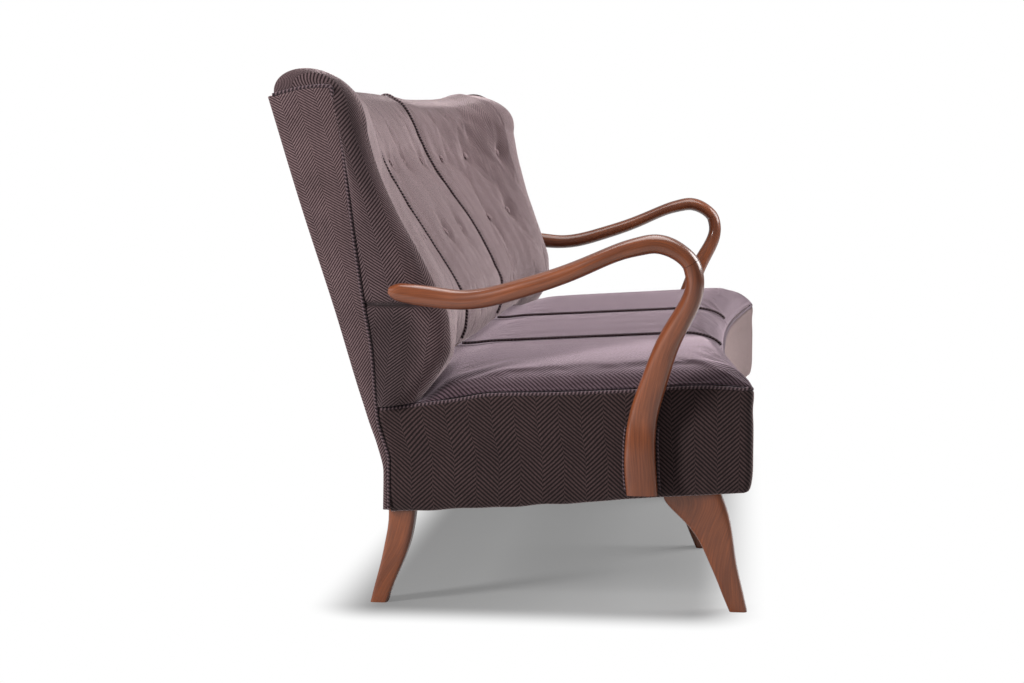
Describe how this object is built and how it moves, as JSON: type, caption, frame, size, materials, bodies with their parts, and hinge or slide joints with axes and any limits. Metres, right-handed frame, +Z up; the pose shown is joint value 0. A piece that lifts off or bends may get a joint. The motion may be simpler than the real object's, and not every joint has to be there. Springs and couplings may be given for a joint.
{
  "type": "wingback sofa",
  "caption": "Upholstered wingback sofa with a channelled seat and buttoned back, flared side wings, bent open wooden arms and sabre legs.",
  "frame": {"origin": "centre of the bounding box in X and Y, on the plane of the feet's soles in Z", "axes": "X along the sofa, +X to the right as seen from the front, Y from front to back with the front facing -Y, +Z up"},
  "size_m": [1.8456, 0.8272, 0.8787],
  "materials": {
    "walnut": "warm brown walnut stain under a satin varnish, grain along each piece",
    "beech": "plain unfinished beech of the hidden frame",
    "herringbone": "herringbone wool, dark brown with mauve grey lines",
    "cord": "bias strip of the same wool over a round cord",
    "jute": "woven jute, undyed",
    "dust_cloth": "thin black cotton",
    "steel": "bare steel wood screws"
  },
  "bodies": {
    "root": {"arm_post_left": "walnut", "arm_post_right": "walnut", "arm_rail_left": "walnut", "arm_rail_right": "walnut", "leg_front_left": "walnut", "leg_front_right": "walnut", "leg_middle_left": "walnut", "leg_middle_right": "walnut", "leg_rear_left": "walnut", "leg_rear_right": "walnut", "front_rail": "beech", "rear_rail": "beech", "back_top_rail": "beech", "back_lower_rail": "beech", "side_rail_left": "beech", "side_rail_right": "beech", "cross_rail_left": "beech", "cross_rail_right": "beech", "back_post_left": "beech", "back_post_right": "beech", "back_upright_left": "beech", "back_upright_right": "beech", "wing_board_left": "beech", "wing_board_right": "beech", "arm_dowel_left": "beech", "arm_dowel_right": "beech", "seat_pad_left": "herringbone", "seat_pad_middle": "herringbone", "seat_pad_right": "herringbone", "seat_border": "herringbone", "back_pad_left": "herringbone", "back_pad_middle": "herringbone", "back_pad_right": "herringbone", "side_panel_left": "herringbone", "side_panel_right": "herringbone", "outside_back": "herringbone", "button_row_upper": "herringbone", "button_row_lower": "herringbone", "seat_edge_cord": "cord", "seat_seam_cord_left": "cord", "seat_seam_cord_right": "cord", "back_seam_cord_left": "cord", "back_seam_cord_right": "cord", "side_panel_cord_left": "cord", "side_panel_cord_right": "cord", "post_gimp_front_left": "cord", "post_gimp_front_right": "cord", "post_gimp_rear_left": "cord", "post_gimp_rear_right": "cord", "seat_webbing": "jute", "seat_hessian": "jute", "back_webbing": "jute", "dust_cover": "dust_cloth", "post_screw_lower_left": "steel", "post_screw_lower_right": "steel", "post_screw_upper_left": "steel", "post_screw_upper_right": "steel", "arm_screw_left": "steel", "arm_screw_right": "steel"}
  },
  "joints": []
}
